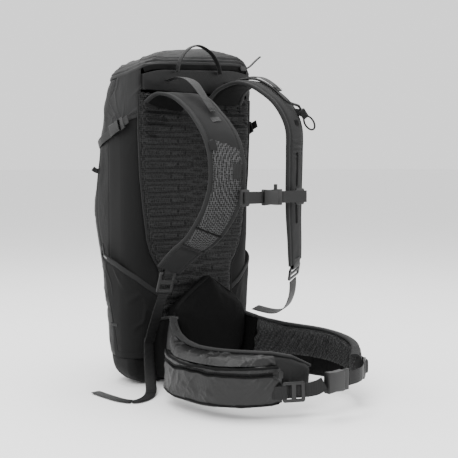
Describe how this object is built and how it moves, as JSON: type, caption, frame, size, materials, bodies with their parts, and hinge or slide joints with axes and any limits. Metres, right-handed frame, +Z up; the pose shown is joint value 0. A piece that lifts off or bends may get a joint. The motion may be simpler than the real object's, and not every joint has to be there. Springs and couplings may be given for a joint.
{
  "type": "avalanche airbag backpack",
  "caption": "Touring backpack of about 24 litres with ribbed back, hip belt with zipped pocket, chest strap and a stowed airbag with gas inflator and strap trigger.",
  "frame": {"origin": "on the floor under the middle of the base, on the base's flat patch", "axes": "+Z up along the pack's height, -Y towards the wearer's back and harness, +X towards the wearer's left"},
  "size_m": [0.3373, 0.4737, 0.5469],
  "materials": {
    "pack_cloth": "matt ripstop",
    "hood_cloth": "matt coated cloth",
    "mesh_foam": "spacer mesh over foam",
    "strap_cloth": "stretch woven",
    "webbing": "woven webbing",
    "moulded": "satin acetal",
    "grey_moulded": "satin acetal",
    "frame_sheet": "matt sheet",
    "stay_aluminium": "brushed",
    "cartridge_steel": "satin",
    "inflator_alloy": "anodised",
    "lever_steel": "satin",
    "gauge_face": "clear lens over a white dial",
    "airbag_cloth": "coated nylon"
  },
  "bodies": {
    "pack": {"base_panel": "pack_cloth", "front_panel": "pack_cloth", "side_panel_right": "pack_cloth", "side_panel_left": "pack_cloth", "back_panel": "mesh_foam", "lumbar_pad": "mesh_foam", "yoke_panel": "pack_cloth", "frame_sheet": "frame_sheet", "frame_stay_right": "stay_aluminium", "frame_stay_left": "stay_aluminium", "hood_wing_right": "hood_cloth", "hood_wing_left": "hood_cloth", "side_pocket_right": "pack_cloth", "side_pocket_left": "pack_cloth", "side_buckle_right_female": "moulded", "side_buckle_left_female": "moulded", "side_web_front_right": "webbing", "side_web_front_left": "webbing", "shoulder_strap_right": "strap_cloth", "shoulder_strap_left": "strap_cloth", "load_lifter_right": "webbing", "load_lifter_left": "webbing", "shoulder_web_right": "webbing", "shoulder_web_left": "webbing", "shoulder_web_tail": "webbing", "gas_cartridge": "cartridge_steel", "cartridge_strap": "webbing", "inflator_body": "inflator_alloy", "pressure_gauge": "gauge_face", "airbag_packed": "airbag_cloth", "trigger_cable": "webbing", "trigger_sleeve": "strap_cloth"},
    "lid": {"lid_flap": "hood_cloth"},
    "lid_zip": {"lid_zip_slider": "moulded", "lid_zip_pull": "moulded"},
    "haul": {"haul_loop": "webbing"},
    "side_plug_right": {"side_buckle_right_male": "moulded", "side_web_rear_right": "webbing"},
    "side_plug_left": {"side_buckle_left_male": "moulded", "side_web_rear_left": "webbing"},
    "sternum": {"sternum_slider_right": "moulded", "sternum_slider_left": "moulded", "sternum_web_right": "webbing", "sternum_buckle_female": "moulded"},
    "sternum_plug": {"sternum_buckle_male": "moulded", "sternum_web_left": "webbing"},
    "shoulder_lock_right": {"ladder_lock_right": "grey_moulded"},
    "shoulder_lock_left": {"ladder_lock_left": "grey_moulded"},
    "belt_right": {"hip_wing_right": "mesh_foam", "belt_pocket": "pack_cloth", "hip_web_right": "webbing", "hip_buckle_female": "grey_moulded"},
    "belt_zip": {"belt_pocket_slider": "moulded"},
    "belt_lock_right": {"hip_ladder_lock_right": "grey_moulded"},
    "belt_left": {"hip_wing_left": "mesh_foam", "hip_web_left": "webbing", "hip_buckle_male": "grey_moulded"},
    "belt_lock_left": {"hip_ladder_lock_left": "moulded"},
    "trigger": {"trigger_handle": "moulded"},
    "lever": {"trigger_lever": "lever_steel"}
  },
  "joints": [
    {"name": "lid_hinge", "type": "hinge", "parent": "pack", "child": "lid", "pos_m": [0, 0.0245, 0.487], "axis": [-1, 0, 0], "range_deg": [0, 100]},
    {"name": "lid_zip_run", "type": "slide", "parent": "pack", "child": "lid_zip", "axis": [-0.9994, 0, -0.035], "range_m": [0, 0.18]},
    {"name": "haul_loop_swing", "type": "hinge", "parent": "pack", "child": "haul", "pos_m": [-0.003, -0.0858, 0.5022], "axis": [1, 0, 0], "range_deg": [0, 75]},
    {"name": "side_release_right", "type": "slide", "parent": "pack", "child": "side_plug_right", "axis": [0, -0.9326, 0.361], "range_m": [0, 0.02]},
    {"name": "side_release_left", "type": "slide", "parent": "pack", "child": "side_plug_left", "axis": [0, -0.9326, 0.361], "range_m": [0, 0.02]},
    {"name": "sternum_height", "type": "slide", "parent": "pack", "child": "sternum", "axis": [0, 0, 1], "range_m": [-0.03, 0.005]},
    {"name": "sternum_release", "type": "slide", "parent": "sternum", "child": "sternum_plug", "axis": [1, 0, 0], "range_m": [0, 0.022]},
    {"name": "shoulder_lock_tilt_right", "type": "hinge", "parent": "pack", "child": "shoulder_lock_right", "pos_m": [-0.0875, -0.1145, 0.1895], "axis": [-0.995, -0.0221, 0.0976], "range_deg": [0, 30]},
    {"name": "shoulder_lock_tilt_left", "type": "hinge", "parent": "pack", "child": "shoulder_lock_left", "pos_m": [0.0815, -0.2225, 0.1965], "axis": [-0.9159, -0.1404, -0.3761], "range_deg": [0, 30]},
    {"name": "belt_swing_right", "type": "hinge", "parent": "pack", "child": "belt_right", "pos_m": [-0.079, -0.1195, 0.06], "axis": [0, 0, -1], "range_deg": [0, 35]},
    {"name": "belt_zip_run", "type": "hinge", "parent": "belt_right", "child": "belt_zip", "pos_m": [-0.0247, -0.2399, 0.066], "axis": [0, 0, -1], "range_deg": [0, 58]},
    {"name": "belt_lock_tilt_right", "type": "hinge", "parent": "belt_right", "child": "belt_lock_right", "pos_m": [-0.072, -0.356, 0.04], "axis": [0.0253, -0.0162, -0.9995], "range_deg": [0, 25]},
    {"name": "belt_swing_left", "type": "hinge", "parent": "pack", "child": "belt_left", "pos_m": [0.079, -0.1195, 0.06], "axis": [0, 0, 1], "range_deg": [0, 35]},
    {"name": "belt_lock_tilt_left", "type": "hinge", "parent": "belt_left", "child": "belt_lock_left", "pos_m": [0.09, -0.364, 0.056], "axis": [0, 0, 1], "range_deg": [0, 25]},
    {"name": "trigger_pull", "type": "slide", "parent": "pack", "child": "trigger", "axis": [0.4996, -0.2498, -0.8294], "range_m": [0, 0.025]},
    {"name": "trigger_lever_turn", "type": "hinge", "parent": "pack", "child": "lever", "pos_m": [0.0505, -0.018, 0.355], "axis": [0, 1, 0], "range_deg": [0, 72]}
  ],
  "couplings": [
    {"joint": "trigger_lever_turn", "follows": "trigger_pull", "rad_per_m": 50}
  ]
}
